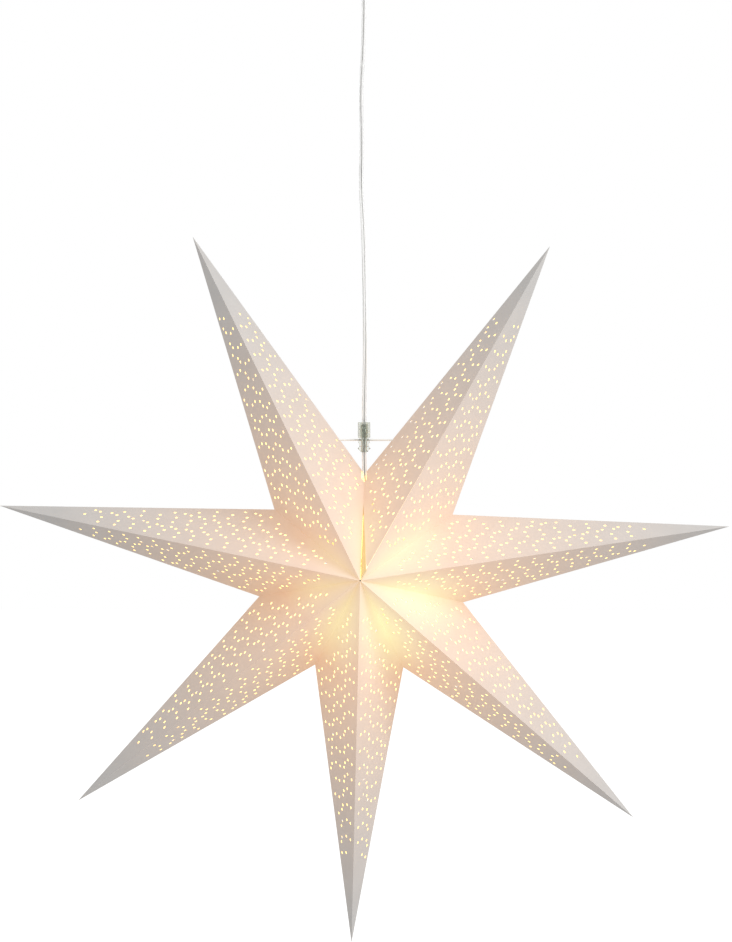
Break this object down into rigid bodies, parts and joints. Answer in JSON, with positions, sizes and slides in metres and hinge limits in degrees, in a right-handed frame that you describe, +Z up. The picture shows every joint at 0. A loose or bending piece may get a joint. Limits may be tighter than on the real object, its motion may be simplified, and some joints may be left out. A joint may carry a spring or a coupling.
{
  "type": "pendant lamp",
  "caption": "Hanging star lamp of folded, perforated card with hollow points, lit from inside, carried by a rod and clear grip on a flat flex under a ceiling cup.",
  "frame": {"origin": "middle of the ceiling strap's upper face, on the ceiling", "axes": "+Z up to the ceiling, -Y the star's front, +X to the right seen from the front"},
  "size_m": [0.9889, 0.2986, 1.3748],
  "materials": {
    "card": "matt white card, perforated, lit from inside",
    "steel": "zinc plated",
    "bulb_metal": "plain rolled",
    "brass": "plain",
    "white_gloss": "moulded, smooth",
    "white_plastic": "moulded",
    "clear_plastic": "clear moulding",
    "white_wire": "white coated wire",
    "flex_pvc": "soft PVC sheath",
    "core_pvc": "soft PVC",
    "opal": "opal, lit warm white"
  },
  "bodies": {
    "ceiling": {"ceiling_strap": "steel", "flex_clamp": "white_plastic", "clamp_screws": "steel", "terminal_block": "white_plastic", "terminal_sleeves": "brass", "terminal_screws": "steel", "ceiling_flex": "flex_pvc", "flex_cores": "core_pvc"},
    "cup": {"ceiling_cup": "white_gloss", "cup_collar": "white_gloss", "collar_nut": "white_gloss"},
    "lock_screw": {"lock_screw": "white_gloss"},
    "pendant": {"drop_flex": "flex_pvc", "holder_cap": "white_gloss", "holder_grip_screw": "white_plastic", "holder_insert": "white_plastic", "screw_shell": "brass", "centre_contact": "brass"},
    "sleeve": {"holder_sleeve": "white_gloss"},
    "grip": {"grip_body": "clear_plastic"},
    "grip_nut": {"grip_nut": "clear_plastic"},
    "star": {"point_upper_right": "card", "point_right": "card", "point_lower_right": "card", "point_bottom": "card", "point_lower_left": "card", "point_left": "card", "point_upper_left": "card"},
    "rod": {"hanger_rod": "white_wire"},
    "bulb": {"bulb_screw_cap": "bulb_metal", "bulb_collar": "white_plastic", "bulb_globe": "opal"}
  },
  "joints": [
    {"name": "pendant_sway", "type": "hinge", "parent": "ceiling", "child": "pendant", "pos_m": [0, 0, -0.0741], "axis": [0, 1, 0], "range_deg": [-12, 12], "deforming": ["drop_flex"]},
    {"name": "cup_slide", "type": "slide", "parent": "ceiling", "child": "cup", "axis": [0, 0, -1], "range_m": [0, 0.06]},
    {"name": "lock_screw_turn", "type": "hinge", "parent": "cup", "child": "lock_screw", "pos_m": [0, 0, -0.071], "axis": [1, 0, 0], "range_deg": [0, 720]},
    {"name": "grip_slide", "type": "slide", "parent": "pendant", "child": "grip", "axis": [0, 0, 1], "range_m": [-0.005, 0.01]},
    {"name": "grip_nut_turn", "type": "hinge", "parent": "grip", "child": "grip_nut", "pos_m": [0, 0, -0.67], "axis": [0, 0, 1], "range_deg": [0, 360]},
    {"name": "star_tilt", "type": "hinge", "parent": "grip", "child": "star", "pos_m": [0, 0.0038, -0.689], "axis": [1, 0, 0], "range_deg": [-3, 3]},
    {"name": "rod_slide", "type": "slide", "parent": "star", "child": "rod", "axis": [1, 0, 0], "range_m": [-0.02, 0.02]},
    {"name": "sleeve_turn", "type": "hinge", "parent": "pendant", "child": "sleeve", "pos_m": [0.018, -0.012, -0.845], "axis": [0, 0, 1], "range_deg": [0, 720]},
    {"name": "bulb_turn", "type": "hinge", "parent": "pendant", "child": "bulb", "pos_m": [0.018, -0.012, -0.86], "axis": [0, 0, 1], "range_deg": [-1080, 0]}
  ]
}
